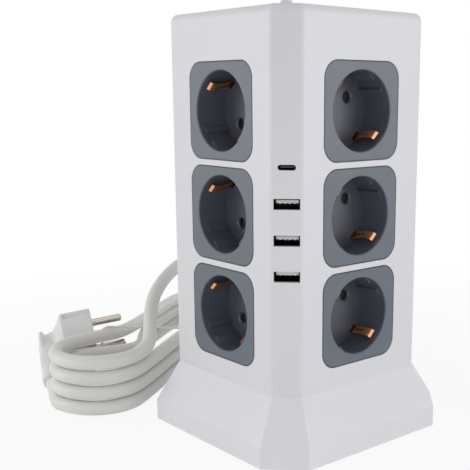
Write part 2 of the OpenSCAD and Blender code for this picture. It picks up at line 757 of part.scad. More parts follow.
module cord_lead() {
    color(cord_tint) tube(concat([exit_point], lead_route, [hank_start]), exit_way, hank_way, cord_r, 10);
}

// The plug stands on the rim of its head beside the hank, with its handle end down. One pin lies over
// the outer run and the other in it. Its origin is in the middle of its face, and its turns are the
// tilt of its axis from upright, its roll, and its heading
plug_at = [-155.3, -40, 21.4];
plug_turn = [81.7, -77.8, 64.9];
module at_plug() {
    translate(plug_at) rotate([0, 0, plug_turn[2]]) rotate([0, plug_turn[0], 0]) rotate([0, 0, plug_turn[1]])
        children();
}
plug_r = 18.3;
plug_face_h = 20;
plug_back_h = 35.5;
plug_step = 0.6;
plug_back_taper = 9;
handle_l = 48;
handle_r = 6.2;
handle_drop = 5.5;
tab_r = 4;
tab_t = 3;
tab_out = 11;
sleeve_l = 12;
earth_slot_w = 5.2;
earth_slot_in = 2;
flat_slot_w = 12.8;
flat_slot_in = 1.1;
module plug_body() {
    color(cord_tint) at_plug() {
        difference() {
            union() {
                translate([0, 0, -plug_face_h]) cylinder(r = plug_r, h = plug_face_h);
                hull() {
                    translate([0, 0, -plug_face_h - plug_step])
                        cylinder(r = plug_r - plug_step, h = 2 * plug_step, $fn = 32);
                    translate([0, 0, -plug_back_h])
                        cylinder(r = plug_r - plug_back_taper, h = plug_step, $fn = 32);
                    translate([handle_l - sleeve_l, 0, handle_drop - plug_back_h]) sphere(handle_r, $fn = 24);
                }
                translate([0, 0, handle_drop - plug_back_h]) rotate([0, 90, 0])
                    cylinder(r1 = handle_r, r2 = relief_tip_r, h = handle_l);
                translate([-tab_out, 0, -plug_back_h]) {
                    cylinder(r = tab_r, h = tab_t);
                    translate([0, -tab_r, 0]) cube([tab_out, 2 * tab_r, tab_t]);
                }
            }
            for (s = [0, 1]) rotate([0, 0, 180 * s])
                translate([plug_r - earth_slot_in, -earth_slot_w / 2, -plug_face_h])
                    cube([2 * earth_slot_in, earth_slot_w, plug_face_h + cut]);
            for (s = [0, 1]) rotate([0, 0, 90 + 180 * s])
                translate([plug_r - flat_slot_in, -flat_slot_w / 2, -plug_face_h])
                    cube([2 * flat_slot_in, flat_slot_w, plug_face_h + cut]);
        }
    }
}
plug_pin_r = 2.4;
plug_pin_l = 19;
pin_nose_l = 1;
module plug_pins() {
    color([0.8, 0.8, 0.8]) at_plug() for (s = [-1, 1]) translate([0, s * pin_r, 0]) {
        cylinder(r = plug_pin_r, h = plug_pin_l - pin_nose_l);
        translate([0, 0, plug_pin_l - pin_nose_l])
            cylinder(r1 = plug_pin_r, r2 = plug_pin_r - pin_nose_l, h = pin_nose_l);
    }
}
contact_size = [1.1, 4.4, plug_face_h - 2 * plug_step];
module plug_earth_contacts() {
    color([0.8, 0.7, 0.5]) at_plug() for (s = [0, 1]) rotate([0, 0, 180 * s])
        translate([plug_r - earth_slot_in, -contact_size[1] / 2, plug_step - plug_face_h])
            cube(contact_size);
}
// The handle's end and the way into it, turned as at_plug turns them
function turn_z(v, a) = [v[0] * cos(a) - v[1] * sin(a), v[0] * sin(a) + v[1] * cos(a), v[2]];
function turn_y(v, a) = [v[0] * cos(a) + v[2] * sin(a), v[1], v[2] * cos(a) - v[0] * sin(a)];
function plug_place(v) = turn_z(turn_y(turn_z(v, plug_turn[1]), plug_turn[0]), plug_turn[2]);
handle_end = plug_at + plug_place([handle_l, 0, handle_drop - plug_back_h]);
handle_way = plug_place([-1, 0, 0]);
plug_route = [[-93.2, -96.4, 4.8], [-100.3, -94.9, 4.8], [-108, -91.9, 4.9], [-116, -88.6, 5.3]];
module cord_plug_lead() {
    color(cord_tint) tube(concat([hank_end], plug_route, [handle_end]), hank_out, handle_way, cord_r, 10);
}

// A thin band round the runs, a little aslant
tie_t = 0.7;
tie_w = 1.8;
tie_s = -18;
tie_slant = 24;
tie_slack = 0.8;
tie_layers = 2.55;
// The runs' place where the band crosses them
tie_cross = fold_r - draw_in * wave(0.5 + (abs(tie_s) + fold_r * sin(tie_slant)) / run_l);
module cord_tie() {
    w = 2 * (tie_cross + cord_r + tie_t + tie_slack) / cos(tie_slant);
    low = hank_lift - tie_t - cut;
    h = hank_lift + cord_d + tie_layers * layer_h + tie_t - low;
    mid = hank_mid + tie_s * hank_far;
    color([0.9, 0.9, 0.88]) translate([mid[0], mid[1], low + h / 2]) rotate([0, 0, hank_turn + tie_slant])
        rotate([90, 0, 90]) translate([0, 0, -tie_w / 2]) linear_extrude(tie_w) difference() {
            rounded_rect(w, h, cord_r + tie_t);
            rounded_rect(w - 2 * tie_t, h - 2 * tie_t, cord_r);
        }
}

front_shell();
rear_shell();
top_cap();
base_skirt();
base_plate();
rubber_feet();
base_screws();
for (k = [0:3], row = [1:rows]) {
    socket_insert(k, row);
    shutter(k, row);
}
for (k = [0:3]) {
    earth_strip(k);
    busbar(k, 1);
    busbar(k, -1);
}
busbar_column();
usb_board();
usb_a_shells();
usb_c_shell();
usb_tongues();
switch_housing();
switch_rocker();
breaker_body();
breaker_button();
strain_relief();
cord_lead();
cord_hank();
cord_plug_lead();
cord_tie();
plug_body();
plug_pins();
plug_earth_contacts();
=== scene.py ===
import math

import bmesh
import bpy
import numpy as np
from mathutils import Matrix, Vector


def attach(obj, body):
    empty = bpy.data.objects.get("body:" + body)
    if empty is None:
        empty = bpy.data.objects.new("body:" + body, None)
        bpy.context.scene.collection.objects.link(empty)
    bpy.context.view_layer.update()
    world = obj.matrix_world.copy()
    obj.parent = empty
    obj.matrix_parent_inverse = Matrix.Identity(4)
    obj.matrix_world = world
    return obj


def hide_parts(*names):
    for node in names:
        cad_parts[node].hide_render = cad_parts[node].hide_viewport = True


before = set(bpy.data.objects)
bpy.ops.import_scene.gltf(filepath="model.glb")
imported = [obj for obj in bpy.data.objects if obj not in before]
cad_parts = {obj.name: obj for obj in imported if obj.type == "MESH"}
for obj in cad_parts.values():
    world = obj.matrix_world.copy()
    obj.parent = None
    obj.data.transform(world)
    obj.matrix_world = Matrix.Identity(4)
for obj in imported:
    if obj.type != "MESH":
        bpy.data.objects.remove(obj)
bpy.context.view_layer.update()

# Tower power strip: the finish of its plastics and metals, its cord in a tied hank and its plug.
# Lengths are written in millimetres and made metres where they go into a mesh.

MM = 0.001

# Sizes that the frame's own source has, and places taken from them

body_half = 49.2
plate_half = 25.3
plate_up = 23.8
plate_r = 8.5
low_row_z = 67.4
row_pitch = 51.0
wide_leg = 10.3
corner_dist = body_half * math.sqrt(2) - wide_leg * math.sqrt(2) / 2

cord_d = 8.2
cord_r = cord_d / 2
exit_z = 78.0
relief_l = 32.0

# Camera, at the photograph's viewing angle

photo_px = 470
sensor = 36.0
focal_px = 872.01
axis_u = 290.0
axis_v = 271.73
camera_dist = 466.06
camera_side = -2.82
camera_z = 176.9
camera_azimuth = math.radians(49.0)
camera_pitch = math.radians(11.43)
near_clip = 0.02
far_clip = 20.0


def make_camera():
    """The camera stands at a distance behind the azimuth's direction and looks down by the pitch."""
    back = Vector((math.sin(camera_azimuth), -math.cos(camera_azimuth), 0))
    right = Vector((math.cos(camera_azimuth), math.sin(camera_azimuth), 0))
    place = back * camera_dist + right * camera_side + Vector((0, 0, camera_z))
    ahead = -back * math.cos(camera_pitch) - Vector((0, 0, math.sin(camera_pitch)))
    above = right.cross(ahead)
    turn = Matrix((right, above, -ahead)).transposed().to_4x4()
    data = bpy.data.cameras.new("camera")
    data.sensor_width = sensor
    data.lens = sensor * focal_px / photo_px
    data.shift_x = (photo_px / 2 - axis_u) / photo_px
    data.shift_y = (axis_v - photo_px / 2) / photo_px
    data.clip_start = near_clip
    data.clip_end = far_clip
    camera = bpy.data.objects.new("camera", data)
    camera.matrix_world = Matrix.Translation(place * MM) @ turn
    bpy.context.collection.objects.link(camera)
    bpy.context.scene.camera = camera


make_camera()


# Mesh makers

def unit_rows(v):
    """Each row divided by its own length."""
    return v / np.linalg.norm(v, axis=-1, keepdims=True)


def mesh_piece(name, points, faces, smooth=True):
    """One object at the origin from points in millimetres and lists of corner numbers."""
    mesh = bpy.data.meshes.new(name)
    mesh.from_pydata((np.asarray(points) * MM).tolist(), [], [list(map(int, f)) for f in faces])
    mesh.polygons.foreach_set("use_smooth", [smooth] * len(mesh.polygons))
    mesh.update()
    piece = bpy.data.objects.new(name, mesh)
    bpy.context.collection.objects.link(piece)
    return piece


def grid_faces(rows, columns, closed_rows=False):
    """Four-cornered faces between the points of a grid, whose last column meets the first, and whose last
    row may."""
    i = np.arange(rows if closed_rows else rows - 1)
    i, j = (a.ravel() for a in np.meshgrid(i, np.arange(columns), indexing="ij"))
    i2, j2 = (i + 1) % rows, (j + 1) % columns
    return np.stack([i * columns + j, i * columns + j2, i2 * columns + j2, i2 * columns + j], axis=1)


def carried_frames(path):
    """Two unit vectors square to a path at each of its points, turned as little as the path allows."""
    along = unit_rows(np.gradient(path, axis=0))
    side = np.empty_like(path)
    first = np.cross(along[0], (0, 0, 1.0))
    side[0] = first / np.linalg.norm(first)
    for k in range(1, len(path)):
        s = side[k - 1] - along[k] * np.dot(side[k - 1], along[k])
        side[k] = s / np.linalg.norm(s)
    return side, np.cross(along, side)


def tube(name, path, radius, sides=24):
    """Circle of a radius, one number or one for each point, carried along a path; its ends are capped."""
    path = np.asarray(path, float)
    radius = np.broadcast_to(radius, len(path))
    side, up = carried_frames(path)
    turn = np.linspace(0, 2 * np.pi, sides, endpoint=False)
    ring = np.cos(turn)[None, :, None] * side[:, None] + np.sin(turn)[None, :, None] * up[:, None]
    points = (path[:, None] + radius[:, None, None] * ring).reshape(-1, 3)
    faces = grid_faces(len(path), sides).tolist()
    faces += [list(range(sides))[::-1], list(range((len(path) - 1) * sides, len(path) * sides))]
    return mesh_piece(name, points, faces)


def hoop(name, path, across, radius, sides=16):
    """Circle of a radius carried round a closed flat path, whose plane is square to the vector across."""
    along = unit_rows(np.roll(path, -1, axis=0) - np.roll(path, 1, axis=0))
    out = np.cross(along, across)
    turn = np.linspace(0, 2 * np.pi, sides, endpoint=False)
    ring = np.cos(turn)[None, :, None] * out[:, None] - np.sin(turn)[None, :, None] * across
    points = (path[:, None] + radius * ring).reshape(-1, 3)
    return mesh_piece(name, points, grid_faces(len(path), sides, closed_rows=True))


def catmull(points, per):
    """Cubic curve through points, by Catmull and Rom's formula with chord lengths to the power one half."""
    p = np.asarray(points, float)
    p = np.vstack([2 * p[0] - p[1], p, 2 * p[-1] - p[-2]])
    t = np.concatenate([[0], np.cumsum(np.linalg.norm(np.diff(p, axis=0), axis=1) ** 0.5)])
    out = []
    for k in range(1, len(p) - 2):
        t0, t1, t2, t3 = t[k - 1:k + 3]
        u = np.linspace(t1, t2, per, endpoint=False)[:, None]
        a1 = (t1 - u) / (t1 - t0) * p[k - 1] + (u - t0) / (t1 - t0) * p[k]
        a2 = (t2 - u) / (t2 - t1) * p[k] + (u - t1) / (t2 - t1) * p[k + 1]
        a3 = (t3 - u) / (t3 - t2) * p[k + 1] + (u - t2) / (t3 - t2) * p[k + 2]
        b1 = (t2 - u) / (t2 - t0) * a1 + (u - t0) / (t2 - t0) * a2
        b2 = (t3 - u) / (t3 - t1) * a2 + (u - t1) / (t3 - t1) * a3
        out.append((t2 - u) / (t2 - t1) * b1 + (u - t1) / (t2 - t1) * b2)
    return np.vstack(out + [p[-2:-1]])


def evenly(path, step):
    """The same path with its points one step apart."""
    far = np.concatenate([[0], np.cumsum(np.linalg.norm(np.diff(path, axis=0), axis=1))])
    at = np.linspace(0, far[-1], int(round(far[-1] / step)) + 1)
    return np.stack([np.interp(at, far, path[:, k]) for k in range(3)], axis=1)


# The cord's route: a lead from the rear corner, three turns of a hank, and a short lead to the plug

fold_r = 24.6
run_l = 164.0
layer_h = 8.8
draw_in = 3.6
hank_mid = np.array([-137.0, -2.0])
hank_turn = math.radians(123)
hank_lift = 0.7
hank_layers = 3
quarter = 4
steps = 6 * quarter
push_share = 0.35
push_in = 15.0
push_turn = 1
hank_far = np.array([math.cos(hank_turn), math.sin(hank_turn)])
hank_side = np.array([math.sin(hank_turn), -math.cos(hank_turn)])
lead_route = [(-74, 74, 78), (-83, 82, 78), (-94, 88.5, 78), (-107, 89.5, 78), (-119.5, 83, 77.5),
              (-128.5, 71, 77), (-133, 57, 75.5), (-134, 42, 73.5), (-132.5, 27, 70.5), (-129.5, 13, 67),
              (-125, 0, 62.5), (-119, -11, 57.5), (-112.5, -20, 52), (-105, -27, 46.3), (-97, -33, 40.6),
              (-89, -38.5, 35.9), (-82, -44, 32.6)]
plug_route = [(-93.2, -96.4, 4.8), (-100.3, -94.9, 4.8), (-108, -91.9, 4.9), (-116, -88.6, 5.3)]
plug_at = np.array([-155.3, -40.0, 21.4])
plug_turn = [math.radians(a) for a in (81.7, -77.8, 64.9)]
plug_r = 18.3
head_l = 20.0
plug_l = 35.5
handle_z = -30.0
handle_l = 48.0
handle_r = 6.2
hank_per = 4
route_per = 12
into_handle = 6.0
path_step = 2.5


def hank_points(per_step):
    """The hank's turns: two half circles joined by runs that draw together at the waist, each turn one
    layer lower than the last by a smooth step in the first half of its outer run. The plug's lower pin
    pushes one run in by a squared sine."""
    i = np.arange(-quarter * per_step, hank_layers * steps * per_step + 1) / per_step
    n = np.floor(i / steps)
    f = i - n * steps
    push = push_in * np.sin(np.pi * np.clip((f / quarter - 1) / (2 * push_share), 0, 1)) ** 2
    push = np.where(n == push_turn, push, 0)
    t1, t2 = f / quarter - 1, f / quarter - 4
    a1, a2, a3 = np.pi / 2 * f / quarter, np.pi / 2 * (f / quarter - 2), np.pi / 2 * (6 - f / quarter)
    zones = [f <= quarter, f <= 2 * quarter, f <= 4 * quarter, f <= 5 * quarter]
    far = np.select(
        zones,
        [-run_l / 2 - fold_r * np.cos(a1), run_l * (t1 - 0.5), run_l / 2 + fold_r * np.sin(a2),
         run_l * (0.5 - t2)],
        -run_l / 2 - fold_r * np.cos(a3))
    side = np.select(
        zones,
        [-fold_r * np.sin(a1), -fold_r + draw_in * np.sin(np.pi * t1) ** 2 + push, -fold_r * np.cos(a2),
         fold_r - draw_in * np.sin(np.pi * t2) ** 2],
        fold_r * np.sin(a3))
    c = np.clip(2 * (f / quarter - 1), 0, 1)
    layer = hank_layers - n - c * c * (3 - 2 * c)
    xy = hank_mid + far[:, None] * hank_far + side[:, None] * hank_side
    return np.column_stack([xy, hank_lift + cord_r + layer_h * layer])


def plug_frame():
    """The plug's turning matrix: about its pins' axis, then over, then about the upright."""
    a, b, c = plug_turn
    over = Matrix.Rotation(a, 3, "Y")
    return np.array(Matrix.Rotation(c, 3, "Z") @ over @ Matrix.Rotation(b, 3, "Z"))


plug_axes = plug_frame()
handle_end = plug_at + plug_axes @ np.array([handle_l, 0, handle_z])
handle_way = plug_axes @ np.array([-1.0, 0, 0])
exit_xy = (corner_dist + relief_l) / math.sqrt(2)
exit_point = np.array([-exit_xy, exit_xy, exit_z])


def cord_path():
    """The leads' chosen points and the hank's turns on one smooth line, even along its length. Each lead
    takes one more point beyond its end, for its direction there, and that last stretch is cut off."""
    hank = hank_points(hank_per)
    lead = catmull([exit_point] + lead_route + [hank[0], hank[hank_per]], route_per)
    lead = lead[:-(route_per + 1)]
    inside = handle_end + into_handle * handle_way
    tail = catmull([hank[-1 - hank_per], hank[-1]] + plug_route + [handle_end, inside], route_per)
    tail = tail[route_per + 1:-route_per]
    return evenly(np.vstack([lead, hank, tail]), path_step)


cord_line = cord_path()


# Plug: a round head, a back with a lip and a handle, grown together into one skin

def in_place(local):
    """Points of the plug's own axes at the plug's place."""
    return plug_at + local @ plug_axes.T


def capped_grid(name, rows):
    """A closed surface from rows of points, each a ring, with a middle point that closes each end."""
    count, columns = rows.shape[:2]
    points = np.vstack([rows.reshape(-1, 3), rows[0].mean(axis=0), rows[-1].mean(axis=0)])
    faces = grid_faces(count, columns).tolist()
    ring = np.arange(columns)
    after = (ring + 1) % columns
    last = (count - 1) * columns
    faces += np.stack([after, ring, np.full(columns, count * columns)], axis=1).tolist()
    faces += np.stack([last + ring, last + after, np.full(columns, count * columns + 1)], axis=1).tolist()
    return mesh_piece(name, points, faces)


def arc(middle, radius, start, end, count=6):
    """Points of a circle's arc between two angles in degrees."""
    a = np.radians(np.linspace(start, end, count))
    return np.column_stack([middle[0] + radius * np.cos(a), middle[1] + radius * np.sin(a)])


def slot_share(across, half_width, edge=0.35):
    """1 inside a slot's half width and 0 outside, with an edge that slopes evenly."""
    return np.clip((half_width - np.abs(across)) / edge + 0.5, 0, 1)


face_round = 1.0
shoulder_r = 12.6
neck_top_r = 8.2
neck_r = 6.7
lip_r = 9.6
lip_round = 1.6
earth_slot_w = 5.2
earth_slot_in = 2.0
guide_slot_w = 5.8
guide_slot_in = 2.4
slot_back = 17.5
lug_out = 15.0
lug_half = 4.0
lug_t = 3.0
lug_z = -34.0
middle_r = 0.5
shoulder_back = 2.6
neck_top_back = 6.0
neck_back = 11.0
lip_back = 0.6
head_rings = 240
head_step = 0.5
slot_fade = 3.0
stretch = 1.1
stretch_from = 1.5
stretch_over = 5.0


def plug_head():
    """An outline of radius and depth turned about the pins' axis, with two earth slots and two guide
    recesses taken from its radius, and stretched towards the handle behind the head."""
    outline = np.vstack([
        [[middle_r, 0], [plug_r - face_round - 3, 0]],
        arc((plug_r - face_round, -face_round), face_round, 90, 0),
        np.column_stack([np.full(12, plug_r), np.linspace(-face_round - 1, face_round - head_l, 12)]),
        arc((plug_r - face_round, face_round - head_l), face_round, 0, -70),
        [[shoulder_r, -head_l - shoulder_back], [neck_top_r, -head_l - neck_top_back],
         [neck_r, -head_l - neck_back]],
        arc((lip_r - lip_round, lip_round + lip_back - plug_l), lip_round, 60, -60),
        [[neck_r - 2, -plug_l], [middle_r, -plug_l]]])
    outline = evenly(np.column_stack([outline, np.zeros(len(outline))]), head_step)[:, :2]
    turn = np.linspace(0, 2 * np.pi, head_rings, endpoint=False)
    r, z = outline[:, :1], outline[:, 1:]
    x, y = np.cos(turn)[None, :], np.sin(turn)[None, :]
    slots = earth_slot_in * slot_share(plug_r * y, earth_slot_w / 2)
    guides = guide_slot_in * slot_share(plug_r * x, guide_slot_w / 2)
    front = slot_share(z, slot_back) * np.clip((r - plug_r + 4) / slot_fade, 0, 1)
    r = r - front * (slots + guides)
    behind = np.clip((-z - head_l - stretch_from) / stretch_over, 0, 1)
    reach = 1 + stretch * behind * np.clip(x, 0, 1) ** 2 * (r > 1)
    return np.stack([r * x * reach, r * y, z + 0 * x], axis=2)


handle_from = 2.0
slim_share = 0.1
slim_from = 18.0
slim_rest = 22.0
rim_share = 0.06
rim_back = 2.6
rim_w = 1.6
end_share = 0.35
end_l = 1.2
handle_square = 0.82
lug_square = 0.6


def plug_handle():
    """A rounded square of two powered waves carried along the handle; it slims towards the cord, where it
    ends in a low rim and a rounded edge."""
    at = np.linspace(handle_from, handle_l, 120)
    slim = slim_share * np.clip((at - slim_from) / (handle_l - slim_rest), 0, 1)
    rim = rim_share * np.exp(-((at - handle_l + rim_back) / rim_w) ** 2)
    end = np.sqrt(1 - end_share * np.clip((at - handle_l + end_l) / end_l, 0, 1) ** 2)
    size = (handle_r * (1 - slim + rim) * end)[:, None]
    y, z = rounded_square(96, handle_square)
    return np.stack([at[:, None] + 0 * y, size * y, handle_z + size * z], axis=2)


def plug_lug():
    """A flat bar with a half round end, behind the head on the side away from the handle."""
    at = np.linspace(-lug_out, -4, 40)
    wide = lug_half * np.sqrt(1 - 0.98 * np.clip((lug_half - lug_out - at) / lug_half, 0, 1) ** 2)[:, None]
    y, z = rounded_square(48, lug_square)
    return np.stack([at[:, None] + 0 * y, wide * y, lug_z + lug_t / 2 * z + 0 * wide], axis=2)


def rounded_square(count, power):
    """Cosine and sine round a turn, each to a power below 1, which fills a circle out to a square."""
    turn = np.linspace(0, 2 * np.pi, count, endpoint=False)
    c, s = np.cos(turn), np.sin(turn)
    return np.sign(c) * np.abs(c) ** power, np.sign(s) * np.abs(s) ** power


def skin(name, pieces, voxel, rounds):
    """One skin over several closed pieces: rebuilt on a voxel grid and then smoothed."""
    together = bmesh.new()
    for piece in pieces:
        together.from_mesh(piece.data)
        bpy.data.objects.remove(piece)
    mesh = bpy.data.meshes.new(name)
    together.to_mesh(mesh)
    together.free()
    whole = bpy.data.objects.new(name, mesh)
    bpy.context.collection.objects.link(whole)
    remesh = whole.modifiers.new("remesh", "REMESH")
    remesh.mode = "VOXEL"
    remesh.voxel_size = voxel * MM
    smooth = whole.modifiers.new("smooth", "SMOOTH")
    smooth.factor = 0.5
    smooth.iterations = rounds
    bpy.context.view_layer.update()
    made = bpy.data.meshes.new_from_object(whole.evaluated_get(bpy.context.evaluated_depsgraph_get()))
    whole.modifiers.clear()
    whole.data = made
    made.polygons.foreach_set("use_smooth", [True] * len(made.polygons))
    return whole


grip_first = 18.6
grip_pitch = 3.6
grip_count = 5
grip_deep = 1.4
grip_wide = 0.6
grip_column = 3.7
grip_half = 1.9
grip_edge = 0.5
grip_clear = 2.2
skin_voxel = 0.36
skin_rounds = 5


def cut_grip(piece):
    """Two columns of short grooves on both broad sides of the handle: points move towards the handle's
    axis by a bell curve of their distance from the nearest groove, within a column's width."""
    co = np.empty(len(piece.data.vertices) * 3)
    piece.data.vertices.foreach_get("co", co)
    local = (co.reshape(-1, 3) / MM - plug_at) @ plug_axes
    x, y, z = local[:, 0], local[:, 1], local[:, 2] - handle_z
    number = np.clip(np.round((x - grip_first) / grip_pitch), 0, grip_count - 1)
    bell = np.exp(-((x - grip_first - grip_pitch * number) / grip_wide) ** 2)
    column = np.clip((grip_half - np.abs(np.abs(z) - grip_column)) / grip_edge, 0, 1)
    deep = grip_deep * bell * column * (np.abs(y) > grip_clear)
    local[:, 1] *= 1 - deep / handle_r
    local[:, 2] -= deep * z / handle_r
    piece.data.vertices.foreach_set("co", (in_place(local) * MM).ravel())
    piece.data.update()


def make_plug():
    """Head, handle and lug in one skin, with the grip cut into it."""
    shapes = (plug_head(), plug_handle(), plug_lug())
    pieces = [capped_grid("plug_shape", in_place(shape)) for shape in shapes]
    body = skin("plug_skin", pieces, skin_voxel, skin_rounds)
    cut_grip(body)
    return body


# Contact strips under the square ports' tongues

port_z = (127.1, 109.8, 92.5)
contact_across = (-3.5, -1.0, 1.0, 3.5)
contact_half = 0.5
contact_t = 0.25
tongue_low = 0.1
contact_in = np.array([5.6, 6.4, 7.4, 9.0, 12.0])
contact_drop = np.array([0.02, 0.35, 0.5, 0.3, 0.02])


def contact_strips():
    """Each strip is a rectangle carried along a bowed line of depth and drop under its tongue; the four
    corners of every section make one grid, repeated across each port and down the row of ports."""
    across = np.array([-contact_half, contact_half, contact_half, -contact_half])
    thick = np.array([0, 0, contact_t, contact_t])
    low = contact_drop[:, None] + thick[None, :]
    place = np.stack(np.broadcast_arrays(
        np.array(contact_across)[None, :, None, None] + across[None, None, None, :],
        np.array(port_z)[:, None, None, None] + tongue_low - low[None, None],
        corner_dist - contact_in[None, None, :, None]), axis=-1)
    right, out = np.array([1, 1]) / math.sqrt(2), np.array([1, -1]) / math.sqrt(2)
    xy = place[..., :1] * right + place[..., 2:] * out
    points = np.concatenate([xy, place[..., 1:2]], axis=-1).reshape(-1, 3)
    count = len(contact_in)
    one = grid_faces(count, 4).tolist() + [[3, 2, 1, 0], [4 * count - 4 + k for k in range(4)]]
    strips = len(port_z) * len(contact_across)
    faces = [[4 * count * n + corner for corner in face] for n in range(strips) for face in one]
    return mesh_piece("usb_contacts", points, faces, smooth=False)


# Tie: a thin string round the runs, where it crosses them a little aslant

tie_s = -18.0
tie_slant = math.radians(24)
string_r = 0.75
tie_per = 24
tie_ways = 240
tie_step = 1.0


def tie_line():
    """The taut line round the runs' circles: at each direction, the furthest circle's point that way. It
    stays above the floor, where it is pressed into the cord."""
    hank = hank_points(tie_per)
    flat = hank[:, :2] - hank_mid
    far, side = flat @ hank_far, flat @ hank_side
    off = far - (tie_s + side * math.tan(tie_slant))
    cross = np.flatnonzero(off[:-1] * off[1:] < 0)
    middles = np.column_stack([side[cross] / math.cos(tie_slant), hank[cross, 2]])
    turn = np.linspace(0, 2 * np.pi, tie_ways, endpoint=False)
    way = np.column_stack([np.cos(turn), np.sin(turn)])
    far_most = np.argmax(middles @ way.T, axis=0)
    line = middles[far_most] + (cord_r + string_r) * way
    line = np.vstack([line, line[:1]])
    line = evenly(np.column_stack([line, np.zeros(len(line))]), tie_step)[:-1, :2]
    line[:, 1] = np.maximum(line[:, 1], string_r)
    ahead = hank_side * math.cos(tie_slant) + hank_far * math.sin(tie_slant)
    xy = hank_mid + tie_s * hank_far + line[:, :1] * ahead
    return np.column_stack([xy, line[:, 1]]), np.array([-ahead[1], ahead[0], 0])


# Shader maths: a wire wraps a socket, and an expression on wires adds its Math nodes

class Wire:
    """An output socket and its node tree."""

    def __init__(self, tree, socket):
        self.tree = tree
        self.socket = socket

    def math(self, operation, *others):
        """A Math node of this wire and the others, wires or numbers."""
        node = self.tree.nodes.new("ShaderNodeMath")
        node.operation = operation
        for port, value in zip(node.inputs, (self,) + others):
            join(self.tree, port, value)
        return Wire(self.tree, node.outputs[0])

    def __add__(self, other):
        return self.math("ADD", other)

    def __mul__(self, other):
        return self.math("MULTIPLY", other)

    def __sub__(self, other):
        return self.math("SUBTRACT", other)

    def __rsub__(self, other):
        return (self * -1).math("ADD", other)

    __radd__ = __add__
    __rmul__ = __mul__

    def above(self, low, high):
        """0 under low, 1 over high and a straight rise between."""
        node = self.tree.nodes.new("ShaderNodeMapRange")
        join(self.tree, node.inputs["Value"], self)
        node.inputs["From Min"].default_value = low
        node.inputs["From Max"].default_value = high
        return Wire(self.tree, node.outputs[0])


def join(tree, port, value):
    """A socket gets a link from a wire, or a plain value."""
    if isinstance(value, Wire):
        tree.links.new(value.socket, port)
    else:
        port.default_value = value


class Finish:
    """A material with its Principled shader, and one method that adds any other node."""

    def __init__(self, name, **sockets):
        self.material = bpy.data.materials.new(name)
        self.material.use_nodes = True
        self.tree = self.material.node_tree
        self.shader = self.tree.nodes["Principled BSDF"]
        self.place = self.add("ShaderNodeTexCoord", out="Object")
        self.set(**sockets)

    def set(self, **sockets):
        """Sockets of the shader, by name."""
        for name, value in sockets.items():
            join(self.tree, self.shader.inputs[name.replace("_", " ")], value)
        return self

    def add(self, kind, settings=None, out=0, **sockets):
        """A node of a kind, its settings first and then its sockets, which have a name or, as _0, a
        number; gives the wire of its output."""
        node = self.tree.nodes.new(kind)
        for key, value in (settings or {}).items():
            setattr(node, key, value)
        for name, value in sockets.items():
            port = node.inputs[int(name[1:])] if name[0] == "_" else node.inputs[name.replace("_", " ")]
            join(self.tree, port, value)
        return Wire(self.tree, node.outputs[out])

    def noise(self, scale, detail=3.0):
        """Cloudy noise from 0 to 1 in the object's own coordinates."""
        return self.add("ShaderNodeTexNoise", Vector=self.place, Scale=scale, Detail=detail)

    def blend(self, mask, low, high):
        """The colour low where the mask is 0 and high where it is 1."""
        return self.add("ShaderNodeMix", {"data_type": "RGBA"}, out=2, _0=mask, _6=low, _7=high)

    def relief(self, height, depth, strength):
        """Bumps of a height in metres on the surface."""
        self.set(Normal=self.add("ShaderNodeBump", Height=height, Distance=depth, Strength=strength))
        return self

    def axes(self):
        """The object's x, y and z as three wires."""
        node = self.tree.nodes.new("ShaderNodeSeparateXYZ")
        join(self.tree, node.inputs[0], self.place)
        return [Wire(self.tree, o) for o in node.outputs]


def tone(r, g, b):
    """An opaque colour."""
    return (r, g, b, 1.0)


broad_cloud = 14.0
close_cloud = 60.0
mould_grain = 2600.0
mould_depth = 0.00002
roll_depth = 0.000004
tongue_parting = 0.137


def grained(name, roughness, grain=mould_grain, cloud=broad_cloud):
    """Plastic without its colour: a fine spark-eroded grain and faint polish marks."""
    f = Finish(name)
    f.set(Roughness=f.noise(cloud * 9, 3.0) * 0.1 + (roughness - 0.05))
    return f.relief(f.noise(grain, 2.0), mould_depth, 0.35)


def moulded(name, colour, shade, roughness, grain=mould_grain, cloud=broad_cloud):
    """Moulded plastic, whose colour drifts slightly."""
    f = grained(name, roughness, grain, cloud)
    drift = f.noise(cloud, 2.0).above(0.35, 0.65)
    return f.set(Base_Color=f.blend(drift, tone(*colour), tone(*shade)))


def housing_finish():
    """White satin housing plastic with the grain of its mould."""
    return moulded("housing_white", (0.78, 0.78, 0.81), (0.76, 0.765, 0.80), 0.42)


def socket_finish():
    """Slate plastic: the front plate is lighter than the well, whose darker colour is painted shade, and
    its rim is painted as dark as the shadow in the gap round it. The rim goes by a rounded rectangle's
    distance from the nearest row's middle."""
    f = grained("socket_slate_painted_shade", 0.4, grain=3000.0)
    x, y, z = (axis.math("ABSOLUTE") for axis in f.axes())
    front = x.math("MAXIMUM", y).above((body_half - 0.14) * MM, (body_half - 0.06) * MM)
    beside = (x.math("MINIMUM", y) - (plate_half - plate_r) * MM).math("MAXIMUM", 0.0)
    row = (z - low_row_z * MM).math("PINGPONG", row_pitch / 2 * MM)
    above = (row - (plate_up - plate_r) * MM).math("MAXIMUM", 0.0)
    corner = (beside * beside + above * above).math("SQRT")
    # painted shadow: the plate's rim is darkened for the shade in the gap round the plate
    rim = corner.above((plate_r - 0.6) * MM, (plate_r - 0.25) * MM)
    drift = f.noise(close_cloud, 2.0).above(0.3, 0.7)
    plate = f.blend(drift, tone(0.135, 0.157, 0.188), tone(0.122, 0.143, 0.173))
    plate = f.blend(rim, plate, tone(0.03, 0.034, 0.042))
    # painted shade: the well is the plate's plastic, made darker for the shade inside the well
    well_painted_shade = f.blend(drift, tone(0.1, 0.112, 0.142), tone(0.088, 0.098, 0.126))
    return f.set(Base_Color=f.blend(front, well_painted_shade, plate))


